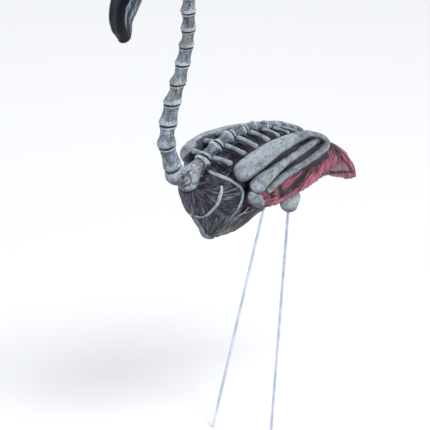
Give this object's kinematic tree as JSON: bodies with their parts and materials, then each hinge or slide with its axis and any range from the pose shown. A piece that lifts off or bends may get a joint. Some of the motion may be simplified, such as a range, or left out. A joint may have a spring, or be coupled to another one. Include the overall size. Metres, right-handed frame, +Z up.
{
  "type": "skeleton flamingo lawn ornament",
  "caption": "Skeleton-style flamingo lawn ornament: bone neck, ribs and wing bones, dark flesh, pink tail feathers and black bill, on straight wire stakes.",
  "frame": {"origin": "on the ground, midway between the lower ends of the stakes", "axes": "+Z up, -Y the way the bird looks, +X towards the bird's left side"},
  "size_m": [0.1779, 0.6154, 0.9478],
  "materials": {
    "painted_moulding": "satin paint, dry-brushed over a dark wash, with a glossy black bill",
    "steel_wire": "bright drawn wire"
  },
  "bodies": {
    "root": {"flamingo_figure": "painted_moulding", "left_stake": "steel_wire", "right_stake": "steel_wire"}
  },
  "joints": []
}
